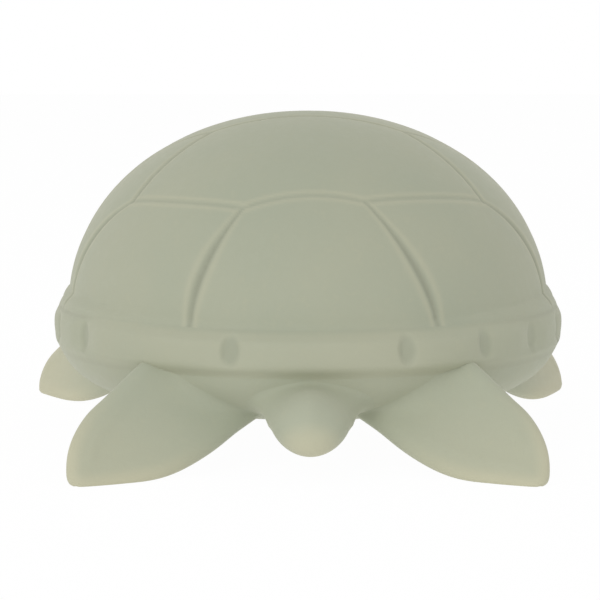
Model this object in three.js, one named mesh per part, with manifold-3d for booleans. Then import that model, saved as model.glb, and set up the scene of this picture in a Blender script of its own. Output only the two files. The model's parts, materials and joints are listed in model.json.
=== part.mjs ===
// Turtle bath toy of soft natural rubber: two hollow shell halves closed by a plug, with a head, a tail and
// four flippers that bend at their roots. Millimetres, +Z up, +Y towards the head, ground at z = 0.

import * as THREE from 'three';
import { mergeVertices } from 'three/addons/utils/BufferGeometryUtils.js';
import Module from 'manifold-3d';

const wasm = await Module();
wasm.setup();

// Shell
const SHELL_WIDTH = 80.6;
const SHELL_LENGTH = 90.2;
const SHOULDER_SWELL = 0.4;    // share by which the shell is wider than an oval towards the neck
const SHOULDER_POWER = 1.5;    // how late that swell sets in
const SEAM_HEIGHT = 16.1;      // parting line above the ground
const RIM_HEIGHT = 5.1;
const RIM_ROUND = 0.9;
const RIM_LEDGE = 2.3;         // step from the rim in to the foot of the dome
const DOME_RISE = 30.2;
const BOWL_INSET = 1.4;        // step from the rim in to the bowl under it
const BOWL_DEPTH = 11.0;
const BOWL_SQUARENESS = 2.8;   // exponent of the bowl's section, 2 being an ellipse
const BELLY_SHARE = 0.45;      // radius of the flat belly over that of the bowl's mouth
const WALL = 3.0;
const SHELL_SEGMENTS = 48;

// Fits
const FIT = 0.3;               // between pieces that are bonded or pressed together
const PLAY = 0.4;              // round a bending root in its seat

// Lap joint at the seam
const LIP_WALL = 1.5;
const TONGUE_WALL = 1.5;
const TONGUE_HEIGHT = 2.0;

// Vent and its plug
const VENT_RADIUS = 3.4;
const PLUG_HEAD_RADIUS = 5.0;
const PLUG_HEAD_HEIGHT = 1.3;
const PLUG_BARB_RADIUS = 4.6;
const PLUG_BARB_HEIGHT = 1.2;
const PLUG_SEGMENTS = 24;

// Scutes: corners seen from above, as shares of the dome's half width and half length, x out and y forward
const GROOVE_RADIUS = 0.65;
const SPINE_CORNERS = [[0.25, -0.79], [0.39, -0.19], [0.39, 0.3], [0.31, 0.73]];
const FLANK_CORNERS = [[0.7, -0.44], [0.69, 0.06], [0.63, 0.52]];
const SPINE_FEET = [[0.45, -0.89], [0.43, 0.9]];
const FLANK_FEET = [[0.99, -0.1], [0.98, 0.19], [0.76, 0.65]];
const NOTCHES_A_SIDE = 8;
const NOTCH_PITCH = 19.5;      // degrees round the rim, with none at the tail and at the neck
const NOTCH_HALF_WIDTH = 1.25;
const NOTCH_HALF_HEIGHT = 2.3;
const NOTCH_DEPTH = 0.9;

// Flipper blade, along its length and across from its hinge line
const BLADE_LENGTH = 21.0;
const BLADE_TRAIL = 10.0;      // root's reach to the trailing edge
const BLADE_LEAD = 5.0;        // root's reach to the leading edge
const BLADE_BULGE = 11.5;      // furthest reach of the leading edge
const BLADE_ROOT_THICKNESS = 4.0;
const BLADE_TIP_THICKNESS = 3.0;
const BLADE_EDGE = 1.6;        // width of the rounded edge
const BLADE_EDGE_SHARE = 0.4;  // depth of the rounding on each face, over the root's thickness
const KNUCKLE_RADIUS = 2.6;
const KNUCKLE_TRAIL = 7.0;     // the root's round bar reaches this far along the hinge to the trailing side

// Head and tail
const NECK_HALF_WIDTH = 5.4;
const NECK_HALF_HEIGHT = 3.2;
const NECK_KNUCKLE_RADIUS = 4.1;
const NECK_KNUCKLE_HALF = 3.4;
const NECK_CLEARANCE = 1.5;    // the neck runs this far past the rim before it swells
const HEAD_LENGTH = 20.5;
const HEAD_HALF_WIDTH = 9.6;
const HEAD_HALF_HEIGHT = 8.2;
const EYE_RADIUS = 2.1;
const EYE_PLACE = { along: 0.66, out: 0.67, up: 0.5 };   // shares of the head's length, width and height
const TAIL_KNUCKLE_RADIUS = 3.2;
const TAIL_KNUCKLE_HALF = 2.2;
const TAIL_WAIST = 1.6;        // the root runs this far from its hinge before it swells
const TAIL_WAIST_HALF_HEIGHT = 2.7;
const TAIL_REACH = 10.6;
const TAIL_HALF_WIDTH = 6.4;
const TAIL_HALF_HEIGHT = 4.5;

// Hinges: how far below the seam each root bends, and how far outside the bowl's skin
const FLIPPER_DROP = 5.2;
const FLIPPER_PROUD = 0.3;
const NECK_DROP = 5.6;
const NECK_PROUD = 0.7;
const TAIL_DROP = 6.3;
const TAIL_PROUD = 0.8;
const SEAT_WALL = 2.0;         // rubber round a seat inside the bowl
const SEAT_ROOF = 0.8;         // rubber between a flipper's seat and the seam

// Poses in degrees: bearing of the root from the nose to the left, heading of the limb from +X, roll of
// its leading edge upwards; a flipper stands on the ground at this share of its length
const FRONT_FLIPPER = { bearing: 47.5, heading: 140, roll: 55, stand: 0.705 };
const REAR_FLIPPER = { bearing: 151.9, heading: 243.3, roll: 37.6, stand: 0.742 };
const HEAD_RAISE = 14;
const TAIL_DROOP = 12;

const rimRadius = SHELL_WIDTH / 2;
const lengthening = SHELL_LENGTH / SHELL_WIDTH;
const rimTop = SEAM_HEIGHT + RIM_HEIGHT;
const domeRadius = rimRadius - RIM_LEDGE;
const bowlTop = SEAM_HEIGHT - FIT;
const bowlRadius = rimRadius - BOWL_INSET;
const bellyHeight = bowlTop - BOWL_DEPTH;
const tongueRadius = bowlRadius - LIP_WALL - FIT;
const cavityRadius = tongueRadius - TONGUE_WALL;
const radians = THREE.MathUtils.degToRad;

const rubber = (color) => new THREE.MeshStandardMaterial({ color, roughness: 0.82, metalness: 0 });
const SAGE = 0xaeb19c;
const PALE_SAGE = 0xb6b8a2;

// Turns a closed geometry into a solid, with its triangles facing out.
function solid(geometry) {
  const bare = geometry.clone();
  bare.deleteAttribute('normal');
  bare.deleteAttribute('uv');
  const merged = mergeVertices(bare, 1e-4);
  const vertices = merged.attributes.position.array;
  const corners = (t) => [0, 1, 2].map((k) => merged.index.getX(3 * t + k));
  const point = (i) => new THREE.Vector3().fromArray(vertices, 3 * i);
  const triangles = Array.from({ length: merged.index.count / 3 }, (_, t) => corners(t))
    .filter(([a, b, c]) => a !== b && b !== c && c !== a);
  const volume = triangles.reduce((sum, [a, b, c]) => sum + point(a).dot(point(b).cross(point(c))), 0);
  const facing = volume < 0 ? triangles.map(([a, b, c]) => [a, c, b]) : triangles;
  return new wasm.Manifold(new wasm.Mesh({
    numProp: 3,
    vertProperties: new Float32Array(vertices),
    triVerts: new Uint32Array(facing.flat()),
  }));
}

function mesh(name, body, color) {
  const { vertProperties, triVerts, numProp } = body.getMesh();
  const geometry = new THREE.BufferGeometry();
  const points = new THREE.InterleavedBuffer(vertProperties, numProp);
  geometry.setAttribute('position', new THREE.InterleavedBufferAttribute(points, 3, 0));
  geometry.setIndex(new THREE.BufferAttribute(triVerts, 1));
  geometry.computeVertexNormals();
  const piece = new THREE.Mesh(geometry, rubber(color));
  piece.name = name;
  return piece;
}

// A body turned about the vertical from a profile of (radius, height).
function turned(points, segments) {
  return new THREE.LatheGeometry(points, segments).rotateX(Math.PI / 2);
}

// Draws a place on a round plan out to the shell's, which is long and fuller at the shoulders.
function inPlan(x, y) {
  const forward = y > 0 ? y / Math.hypot(x, y) : 0;
  return [x * (1 + SHOULDER_SWELL * forward ** SHOULDER_POWER), y * lengthening];
}

// A turned body on the shell's plan.
function shellBody(points) {
  const geometry = turned(points, SHELL_SEGMENTS);
  const places = geometry.attributes.position;
  for (let i = 0; i < places.count; i += 1) {
    places.setXY(i, ...inPlan(places.getX(i), places.getY(i)));
  }
  return solid(geometry);
}

// Point on the dome above a place given as shares of its half width and half length.
function onDome(x, y) {
  const height = Math.sqrt(Math.max(0, 1 - x * x - y * y));
  return new THREE.Vector3(...inPlan(domeRadius * x, domeRadius * y), rimTop + DOME_RISE * height);
}

// A round-bottomed groove along the dome, with its steps drawn together where it drops to the rim.
function groove([fromX, fromY], [toX, toY], drops) {
  const steps = 6;
  const over = GROOVE_RADIUS / domeRadius;
  const track = Array.from({ length: steps + 1 }, (_, i) => {
    const step = i / steps;
    const share = drops ? Math.sin((step * Math.PI) / 2) : step + over * (2 * step - 1);
    return onDome(fromX + (toX - fromX) * share, fromY + (toY - fromY) * share);
  });
  const section = new THREE.Shape().absarc(0, 0, GROOVE_RADIUS, 0, 2 * Math.PI);
  return solid(new THREE.ExtrudeGeometry(section, {
    curveSegments: 2,
    steps,
    extrudePath: new THREE.CatmullRomCurve3(track),
  }));
}

// The grooves between the scutes: a zigzag each side of the spine, bars across it and spokes to the rim.
function scuteGrooves() {
  const bars = SPINE_CORNERS.map(([x, y]) => groove([-x, y], [x, y], false));
  const sides = [-1, 1].flatMap((side) => {
    const place = ([x, y]) => [side * x, y];
    const zigzag = FLANK_CORNERS.flatMap((flank, i) => [
      groove(place(SPINE_CORNERS[i]), place(flank), false),
      groove(place(flank), place(SPINE_CORNERS[i + 1]), false),
      groove(place(flank), place(FLANK_FEET[i]), true),
    ]);
    const ends = [SPINE_CORNERS.at(0), SPINE_CORNERS.at(-1)];
    return [...zigzag, ...ends.map((corner, i) => groove(place(corner), place(SPINE_FEET[i]), true))];
  });
  return [...bars, ...sides];
}

// The oval dimples between the scallops of the rim.
function rimNotches() {
  const size = new THREE.Vector3(NOTCH_HALF_WIDTH, NOTCH_DEPTH, NOTCH_HALF_HEIGHT);
  const turns = Array.from({ length: NOTCHES_A_SIDE }, (_, i) => (i + 1) * radians(NOTCH_PITCH));
  return turns.flatMap((turn) => [-turn, turn]).map((turn) => {
    const dimple = new THREE.SphereGeometry(1, 8, 6).scale(...size).rotateZ(turn);
    const place = inPlan(rimRadius * Math.sin(turn), -rimRadius * Math.cos(turn));
    return solid(dimple.translate(...place, SEAM_HEIGHT + RIM_HEIGHT / 2));
  });
}

function carapace() {
  const roof = SEAM_HEIGHT + TONGUE_HEIGHT + FIT;
  const profile = new THREE.Path();
  profile.moveTo(0, rimTop + DOME_RISE);
  profile.absellipse(0, rimTop, domeRadius, DOME_RISE, Math.PI / 2, 0, true);
  profile.lineTo(rimRadius - RIM_ROUND, rimTop);
  profile.lineTo(rimRadius, rimTop - RIM_ROUND);
  profile.lineTo(rimRadius, SEAM_HEIGHT + RIM_ROUND);
  profile.lineTo(rimRadius - RIM_ROUND, SEAM_HEIGHT);
  profile.lineTo(tongueRadius + FIT, SEAM_HEIGHT);
  profile.lineTo(tongueRadius + FIT, roof);
  profile.lineTo(cavityRadius, roof);
  profile.lineTo(domeRadius - WALL, rimTop);
  profile.absellipse(0, rimTop, domeRadius - WALL, DOME_RISE - WALL, 0, Math.PI / 2, false);
  const shell = shellBody(profile.getPoints(6));
  return [...scuteGrooves(), ...rimNotches()].reduce((body, cut) => body.subtract(cut), shell);
}

// Share of the bowl's depth at which its full section would close, the belly being cut flat above that.
const bowlFloor = (1 - BELLY_SHARE ** BOWL_SQUARENESS) ** (1 / BOWL_SQUARENESS);

// Distance from the middle to the bowl's skin, over that at its mouth, at a share of its depth.
function bowlShare(depthShare) {
  return (1 - (bowlFloor * depthShare) ** BOWL_SQUARENESS) ** (1 / BOWL_SQUARENESS);
}

// Points down the bowl's section, from its mouth to the edge of the flat belly.
function bowlSection(radius, depth) {
  const steps = 7;
  return Array.from({ length: steps + 1 }, (_, i) => {
    const depthShare = Math.sin((i / steps) * (Math.PI / 2));
    return new THREE.Vector2(radius * bowlShare(depthShare), bowlTop - depth * depthShare);
  });
}

// The round bar at a limb's root, which lies along its hinge, the limb's own y axis.
function knuckle(radius, from, to) {
  const bar = new THREE.CapsuleGeometry(radius, to - from, 3, 12);
  return bar.translate(0, (from + to) / 2, 0);
}

// Places a limb on the bowl's skin, with its length, the own x axis, along the heading and down by the droop.
function stance({ bearing, drop, proud, heading, droop, roll }) {
  const width = bowlRadius * bowlShare((drop - FIT) / BOWL_DEPTH);
  const turn = radians(bearing);
  const skin = new THREE.Vector3(...inPlan(-width * Math.sin(turn), width * Math.cos(turn)), 0);
  const outward = new THREE.Vector3(skin.x, skin.y / lengthening ** 2, 0).setLength(proud);
  const place = skin.add(outward).setZ(SEAM_HEIGHT - drop);
  const angles = new THREE.Euler(radians(roll), radians(droop), radians(heading), 'ZYX');
  const spin = new THREE.Quaternion().setFromEuler(angles);
  return new THREE.Matrix4().compose(place, spin, new THREE.Vector3(1, 1, 1));
}

// Side is 1 for the turtle's left and -1 for its right.
function flipperLimb(side, { bearing, heading, roll, stand }) {
  const droop = Math.asin((SEAM_HEIGHT - FLIPPER_DROP) / (BLADE_LENGTH * stand));
  const headroom = FLIPPER_DROP - FIT - SEAT_ROOF - PLAY - KNUCKLE_RADIUS;
  const lead = headroom / (Math.sin(radians(roll)) * Math.cos(droop));
  return {
    side,
    stance: stance({
      bearing: side * bearing,
      drop: FLIPPER_DROP,
      proud: FLIPPER_PROUD,
      heading: side > 0 ? heading : 180 - heading,
      droop: THREE.MathUtils.radToDeg(droop),
      roll: -side * roll,
    }),
    radius: KNUCKLE_RADIUS,
    ends: [-lead * side, KNUCKLE_TRAIL * side].sort((a, b) => a - b),
  };
}

const NOSE = { bearing: 0, heading: 90, roll: 0 };
const RUMP = { bearing: 180, heading: -90, roll: 0 };
const neckLimb = {
  stance: stance({ ...NOSE, drop: NECK_DROP, proud: NECK_PROUD, droop: -HEAD_RAISE }),
  radius: NECK_KNUCKLE_RADIUS,
  ends: [-NECK_KNUCKLE_HALF, NECK_KNUCKLE_HALF],
};
const tailLimb = {
  stance: stance({ ...RUMP, drop: TAIL_DROP, proud: TAIL_PROUD, droop: TAIL_DROOP }),
  radius: TAIL_KNUCKLE_RADIUS,
  ends: [-TAIL_KNUCKLE_HALF, TAIL_KNUCKLE_HALF],
};
const flipperLimbs = {
  front_left_flipper: flipperLimb(1, FRONT_FLIPPER),
  front_right_flipper: flipperLimb(-1, FRONT_FLIPPER),
  rear_left_flipper: flipperLimb(1, REAR_FLIPPER),
  rear_right_flipper: flipperLimb(-1, REAR_FLIPPER),
};

const placeOf = (limb) => new THREE.Vector3().setFromMatrixPosition(limb.stance);

function plastron() {
  const shell = shellBody([
    new THREE.Vector2(0, bellyHeight),
    ...bowlSection(bowlRadius, BOWL_DEPTH).reverse(),
    new THREE.Vector2(tongueRadius, bowlTop),
    new THREE.Vector2(tongueRadius, SEAM_HEIGHT + TONGUE_HEIGHT),
    new THREE.Vector2(cavityRadius, SEAM_HEIGHT + TONGUE_HEIGHT),
    ...bowlSection(cavityRadius, BOWL_DEPTH - WALL),
    new THREE.Vector2(0, bellyHeight + WALL),
  ]);
  const core = shellBody([
    new THREE.Vector2(0, bellyHeight + WALL / 2),
    ...bowlSection(bowlRadius - WALL / 2, BOWL_DEPTH - WALL / 2).reverse(),
    new THREE.Vector2(0, bowlTop),
  ]);
  const vent = solid(turned([
    new THREE.Vector2(0, bellyHeight - FIT),
    new THREE.Vector2(PLUG_HEAD_RADIUS + FIT, bellyHeight - FIT),
    new THREE.Vector2(PLUG_HEAD_RADIUS + FIT, bellyHeight + PLUG_HEAD_HEIGHT + FIT),
    new THREE.Vector2(VENT_RADIUS, bellyHeight + PLUG_HEAD_HEIGHT + FIT),
    new THREE.Vector2(VENT_RADIUS, bellyHeight + WALL + FIT),
    new THREE.Vector2(0, bellyHeight + WALL + FIT),
  ], PLUG_SEGMENTS));
  const limbs = [neckLimb, tailLimb, ...Object.values(flipperLimbs)];
  const seat = (limb, wall) => {
    const bar = knuckle(limb.radius + PLAY + wall, ...limb.ends);
    return solid(bar.applyMatrix4(limb.stance));
  };
  const bosses = limbs.map((limb) => seat(limb, SEAT_WALL).intersect(core));
  const thick = bosses.reduce((body, boss) => body.add(boss), shell);
  return limbs.reduce((body, limb) => body.subtract(seat(limb, 0)), thick).subtract(vent);
}

function plug() {
  const top = bellyHeight + WALL + FIT;
  return solid(turned([
    new THREE.Vector2(0, bellyHeight),
    new THREE.Vector2(PLUG_HEAD_RADIUS, bellyHeight),
    new THREE.Vector2(PLUG_HEAD_RADIUS, bellyHeight + PLUG_HEAD_HEIGHT),
    new THREE.Vector2(VENT_RADIUS - FIT, bellyHeight + PLUG_HEAD_HEIGHT),
    new THREE.Vector2(VENT_RADIUS - FIT, top),
    new THREE.Vector2(PLUG_BARB_RADIUS, top),
    new THREE.Vector2(VENT_RADIUS, top + PLUG_BARB_HEIGHT),
    new THREE.Vector2(0, top + PLUG_BARB_HEIGHT),
  ], PLUG_SEGMENTS));
}

// Outline of a flipper, with its length along x and its trailing edge towards y times side.
function bladeOutline(side) {
  const along = (share) => BLADE_LENGTH * share;
  const trail = (share) => side * BLADE_TRAIL * share;
  const lead = (share) => -side * BLADE_BULGE * share;
  const shape = new THREE.Shape();
  shape.moveTo(0, trail(1));
  shape.bezierCurveTo(along(0.3), trail(0.8), along(0.66), trail(0.3), along(0.94), lead(0.5));
  shape.bezierCurveTo(along(1.04), lead(0.72), along(1), lead(0.9), along(0.86), lead(0.95));
  shape.bezierCurveTo(along(0.62), lead(1.06), along(0.2), lead(0.9), 0, -side * BLADE_LEAD);
  return shape;
}

function flipper(limb) {
  const round = BLADE_ROOT_THICKNESS * BLADE_EDGE_SHARE;
  const blade = new THREE.ExtrudeGeometry(bladeOutline(limb.side), {
    curveSegments: 8,
    depth: BLADE_ROOT_THICKNESS - 2 * round,
    bevelThickness: round,
    bevelSize: BLADE_EDGE,
    bevelOffset: -BLADE_EDGE,
    bevelSegments: 2,
  });
  blade.translate(0, 0, round - BLADE_ROOT_THICKNESS / 2);
  const thinning = (1 - BLADE_TIP_THICKNESS / BLADE_ROOT_THICKNESS) / BLADE_LENGTH;
  const places = blade.attributes.position;
  for (let i = 0; i < places.count; i += 1) {
    places.setZ(i, places.getZ(i) * (1 - thinning * places.getX(i)));
  }
  const room = 4 * BLADE_LENGTH;
  const place = placeOf(limb);
  const ground = new THREE.BoxGeometry(room, room, room).translate(place.x, place.y, -room / 2);
  ground.applyMatrix4(limb.stance.clone().invert());
  return solid(blade).add(solid(knuckle(limb.radius, ...limb.ends))).subtract(solid(ground));
}

// A body turned about the limb's own length from (half height, distance along) points, then widened.
function turnedLimb(points, segments, widening) {
  const geometry = new THREE.LatheGeometry(points, segments).rotateZ(-Math.PI / 2);
  return solid(geometry.scale(1, widening, 1));
}

function head() {
  const neckRun = SHELL_LENGTH / 2 - placeOf(neckLimb).y + NECK_CLEARANCE;
  const along = (share) => neckRun + HEAD_LENGTH * share;
  const profile = new THREE.Path();
  profile.moveTo(0, 0);
  profile.lineTo(NECK_HALF_HEIGHT, 0);
  profile.lineTo(NECK_HALF_HEIGHT, neckRun);
  profile.bezierCurveTo(
    NECK_HALF_HEIGHT, along(0.2), HEAD_HALF_HEIGHT, along(0.1), HEAD_HALF_HEIGHT, along(0.48),
  );
  profile.bezierCurveTo(HEAD_HALF_HEIGHT, along(0.78), HEAD_HALF_HEIGHT * 0.62, along(1), 0, along(1));
  const skull = turnedLimb(profile.getPoints(7), 22, HEAD_HALF_WIDTH / HEAD_HALF_HEIGHT);
  const throat = new THREE.Path();
  throat.moveTo(0, 0);
  throat.lineTo(NECK_HALF_HEIGHT, 0);
  throat.lineTo(NECK_HALF_HEIGHT, along(0.12));
  throat.lineTo(0, along(0.24));
  const neck = turnedLimb(throat.getPoints(), 22, NECK_HALF_WIDTH / NECK_HALF_HEIGHT);
  const eyes = [-1, 1].map((side) => {
    const out = side * HEAD_HALF_WIDTH * EYE_PLACE.out;
    const ball = new THREE.SphereGeometry(EYE_RADIUS, 10, 6);
    return solid(ball.translate(along(EYE_PLACE.along), out, HEAD_HALF_HEIGHT * EYE_PLACE.up));
  });
  const root = solid(knuckle(neckLimb.radius, ...neckLimb.ends));
  return [neck, root, ...eyes].reduce((body, more) => body.add(more), skull);
}

function tail() {
  const profile = new THREE.Path();
  profile.moveTo(0, 0);
  profile.lineTo(TAIL_WAIST_HALF_HEIGHT, 0);
  profile.lineTo(TAIL_WAIST_HALF_HEIGHT, TAIL_WAIST);
  profile.lineTo(TAIL_HALF_HEIGHT, TAIL_WAIST + TAIL_HALF_HEIGHT - TAIL_WAIST_HALF_HEIGHT);
  profile.bezierCurveTo(
    TAIL_HALF_HEIGHT, TAIL_REACH * 0.7, TAIL_HALF_HEIGHT * 0.7, TAIL_REACH, 0, TAIL_REACH,
  );
  const cone = turnedLimb(profile.getPoints(7), 20, TAIL_HALF_WIDTH / TAIL_HALF_HEIGHT);
  return cone.add(solid(knuckle(tailLimb.radius, ...tailLimb.ends)));
}

function placed(piece, limb) {
  limb.stance.decompose(piece.position, piece.quaternion, piece.scale);
  return piece;
}

const toy = new THREE.Group();
toy.add(mesh('carapace_shell', carapace(), SAGE));
toy.add(mesh('plastron_shell', plastron(), SAGE));
toy.add(mesh('vent_plug', plug(), PALE_SAGE));
toy.add(placed(mesh('head', head(), PALE_SAGE), neckLimb));
toy.add(placed(mesh('tail', tail(), PALE_SAGE), tailLimb));
for (const [name, limb] of Object.entries(flipperLimbs)) {
  toy.add(placed(mesh(name, flipper(limb), PALE_SAGE), limb));
}

// The frame's origin is on the ground, under the middle of the whole toy.
const middle = new THREE.Box3().setFromObject(toy, true).getCenter(new THREE.Vector3());
toy.position.set(-middle.x, -middle.y, 0);

const turtle = new THREE.Group();
turtle.add(toy);

export default turtle;
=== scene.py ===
"""Turtle bath toy of matte natural rubber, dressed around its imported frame.

Shapes are worked out in millimetres, in the frame's own axes (+Z up, +Y towards the head, ground at zero),
and become metres where a skin turns into a Blender mesh. Angles round the shell are radians from the tail,
and grow towards the turtle's right.
"""

import json
import logging
import math
from dataclasses import dataclass, field
from enum import Enum

import bmesh
import bpy
import numpy as np
from bpy.types import ID, Material, Node, NodeSocket, NodeTree, Object
from mathutils import Euler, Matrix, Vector


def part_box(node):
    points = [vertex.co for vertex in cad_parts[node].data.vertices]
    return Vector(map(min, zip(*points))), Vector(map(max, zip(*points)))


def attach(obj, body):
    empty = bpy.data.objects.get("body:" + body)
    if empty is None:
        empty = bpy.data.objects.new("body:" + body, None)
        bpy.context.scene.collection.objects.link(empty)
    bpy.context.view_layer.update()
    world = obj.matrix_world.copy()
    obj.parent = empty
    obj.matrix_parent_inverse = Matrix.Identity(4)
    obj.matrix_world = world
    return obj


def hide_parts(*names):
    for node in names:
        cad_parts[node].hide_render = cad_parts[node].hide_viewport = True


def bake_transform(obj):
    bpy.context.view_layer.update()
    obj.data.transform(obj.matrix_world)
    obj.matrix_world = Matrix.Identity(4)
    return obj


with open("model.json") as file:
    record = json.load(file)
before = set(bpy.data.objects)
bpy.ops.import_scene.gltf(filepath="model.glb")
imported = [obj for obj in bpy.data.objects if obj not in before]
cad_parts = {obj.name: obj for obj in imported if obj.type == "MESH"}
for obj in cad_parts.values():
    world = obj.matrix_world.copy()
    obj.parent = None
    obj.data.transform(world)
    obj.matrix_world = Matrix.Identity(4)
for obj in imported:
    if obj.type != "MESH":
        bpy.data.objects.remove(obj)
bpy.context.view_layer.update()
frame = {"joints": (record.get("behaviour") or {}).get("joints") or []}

log = logging.getLogger("turtle")

MM = 0.001
# Share of a paler, warmer tint: thin rubber at tips and edges, and painted highlight on groove lips, the
# rim's bulge and lit edges
PALE_AND_HIGHLIGHT = "thin_edge"
# Share of a darker tint that paints shade into grooves, notches, creases, under the rim and at the limbs'
# roots
PAINTED_SHADE = "hollow"
QUARTER = np.pi / 2.0
ACROSS = np.array([1.0, 0.0, 0.0])
TINY = 1e-6

Span = tuple[float, float]
Colour = tuple[float, float, float]
Edge = tuple[Span, ...]
Array = np.ndarray


class Slot(Enum):
    """The record's material slots."""

    SHELL = "shell_rubber"
    LIMB = "limb_rubber"


class Side(Enum):
    """The turtle's own left and right, with the sign of their x."""

    LEFT = -1
    RIGHT = 1


def ease(low: float, high: float, values: Array) -> Array:
    """A smooth rise from 0 at the low value to 1 at the high one."""
    share = np.clip((values - low) / (high - low), 0.0, 1.0)
    return share * share * (3.0 - 2.0 * share)


def between(span: Span, share: Array) -> Array:
    """The value at a share of the way from the first of two values to the second."""
    return span[0] + (span[1] - span[0]) * share


def bell(values: Array) -> Array:
    """A bell curve, which is 1 at zero."""
    return np.exp(-(values ** 2))


def circle(count: int) -> Array:
    """Evenly spaced angles once round."""
    return np.linspace(0.0, 2.0 * np.pi, count, endpoint=False)


def smooth_curve(knots: Array, count: int) -> Array:
    """Draws a smooth open curve through given points.

    Args:
        knots: The points, one row each.
        count: How many points the drawn curve has.

    Returns:
        Points along the curve, evenly spaced by the knots' own distances.
    """
    knots = np.asarray(knots, float)
    first = 2.0 * knots[0] - knots[1]
    last = 2.0 * knots[-1] - knots[-2]
    padded = np.vstack([first, knots, last])
    steps = np.linalg.norm(np.diff(knots, axis=0), axis=1)
    lengths = np.concatenate([[0.0], np.cumsum(steps)])
    wanted = np.linspace(0.0, lengths[-1], count)
    span = np.clip(np.searchsorted(lengths, wanted, side="right") - 1, 0, len(knots) - 2)
    t = ((wanted - lengths[span]) / steps[span])[:, None]
    before, start, end, after = (padded[span + k] for k in range(4))
    bend = 2.0 * before - 5.0 * start + 4.0 * end - after
    twist = 3.0 * (start - end) + after - before
    return start + 0.5 * t * ((end - before) + t * (bend + t * twist))


def distance_to_line(points: Array, line: Array) -> tuple[Array, Array]:
    """Measures how far points lie from a line of straight steps.

    Args:
        points: The points, one row each.
        line: The line's corners, one row each.

    Returns:
        The distance of each point, and the share of the line's steps at which the nearest place lies.
    """
    best = np.full(len(points), np.inf)
    share = np.zeros(len(points))
    for step, (start, end) in enumerate(zip(line[:-1], line[1:])):
        run = end - start
        t = np.clip(((points - start) @ run) / (run @ run), 0.0, 1.0)
        gap = np.linalg.norm(points - start - t[:, None] * run, axis=1)
        nearer = gap < best
        best[nearer] = gap[nearer]
        share[nearer] = (step + t[nearer]) / (len(line) - 1)
    return best, share


@dataclass
class Skin:
    """A closed surface in millimetres, with shares painted on its points."""

    points: Array
    faces: list[tuple[int, ...]]
    paint: dict[str, Array] = field(default_factory=dict)

    def to_object(self, name: str) -> Object:
        """Makes a smooth-shaded mesh object of the skin.

        Args:
            name: The object's name.

        Returns:
            The object, linked to the scene.
        """
        mesh = bpy.data.meshes.new(name)
        mesh.from_pydata((self.points * MM).tolist(), [], self.faces)
        probe = bmesh.new()
        probe.from_mesh(mesh)
        if probe.calc_volume(signed=True) < 0.0:
            mesh.flip_normals()
        probe.free()
        mesh.shade_smooth()
        for label in (PALE_AND_HIGHLIGHT, PAINTED_SHADE):
            shares = self.paint.get(label, np.zeros(len(self.points)))
            layer = mesh.attributes.new(label, "FLOAT", "POINT")
            layer.data.foreach_set("value", np.clip(shares, 0.0, 1.0).astype(np.float32))
        piece = bpy.data.objects.new(name, mesh)
        bpy.context.scene.collection.objects.link(piece)
        return piece


def ring_faces(lower: Array, upper: Array) -> list[tuple[int, ...]]:
    """Joins two rings of equally many points with four-cornered faces."""
    corners = (lower, np.roll(lower, -1), np.roll(upper, -1), upper)
    return list(zip(*(corner.tolist() for corner in corners)))


def loft(rings: Array) -> Skin:
    """Closes a row of rings into one skin, with a point at the middle of each end.

    Args:
        rings: Points by ring, then round the ring, then by axis.

    Returns:
        The closed skin, whose points keep the order of the rings and end with the two middles.
    """
    count, around, _ = rings.shape
    index = np.arange(count * around).reshape(count, around)
    faces = [face for k in range(count - 1) for face in ring_faces(index[k], index[k + 1])]
    start, end = count * around, count * around + 1
    for ring, middle, turn in ((index[0], start, -1), (index[-1], end, 1)):
        ordered = ring[::turn]
        faces += [(int(a), int(b), middle) for a, b in zip(ordered, np.roll(ordered, -1))]
    middles = np.array([rings[0].mean(axis=0), rings[-1].mean(axis=0)])
    return Skin(np.vstack([rings.reshape(-1, 3), middles]), faces)


def sampled(values: Array, places: Array) -> Array:
    """Reads values given by ring and round the ring, between the rings too.

    Args:
        values: Values by ring, then round the ring.
        places: Ring numbers, whole or broken, by row, then round the ring.

    Returns:
        The values, with as many rows as the places.
    """
    low = np.clip(np.floor(places).astype(int), 0, len(values) - 2)
    column = np.arange(values.shape[1])[None, :]
    share = np.clip(places - low, 0.0, 1.0).reshape(places.shape + (1,) * (values.ndim - 2))
    return values[low, column] * (1.0 - share) + values[low + 1, column] * share


def feed(tree: NodeTree, node: Node, inputs: dict) -> None:
    """Sets the inputs of a shader node.

    Args:
        tree: The tree that holds the node.
        node: The node.
        inputs: For each input, the value that it has or the socket that feeds it.
    """
    for label, value in inputs.items():
        if isinstance(value, NodeSocket):
            tree.links.new(value, node.inputs[label])
        else:
            node.inputs[label].default_value = value


def add_node(tree: NodeTree, kind: str, inputs: dict, **settings: str) -> Node:
    """Adds a shader node.

    Args:
        tree: The tree that gets the node.
        kind: The node's type, without the word that all shader nodes start with.
        inputs: For each input, the value that it has or the socket that feeds it.
        **settings: The node's own settings.

    Returns:
        The node.
    """
    node = tree.nodes.new(f"ShaderNode{kind}")
    for label, value in settings.items():
        setattr(node, label, value)
    feed(tree, node, inputs)
    return node


def seen_rays(tree: NodeTree) -> NodeSocket:
    """Marks the rays that show the backdrop: the camera's own, and those mirrored or refracted.

    Args:
        tree: The node tree of the backdrop.

    Returns:
        A socket that is 1 for those rays and 0 for others.
    """
    path = tree.nodes.new("ShaderNodeLightPath")
    seen = path.outputs["Is Camera Ray"]
    for label in ("Is Glossy Ray", "Is Transmission Ray"):
        either = {0: seen, 1: path.outputs[label]}
        seen = add_node(tree, "Math", either, operation="MAXIMUM").outputs["Value"]
    return seen


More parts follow.
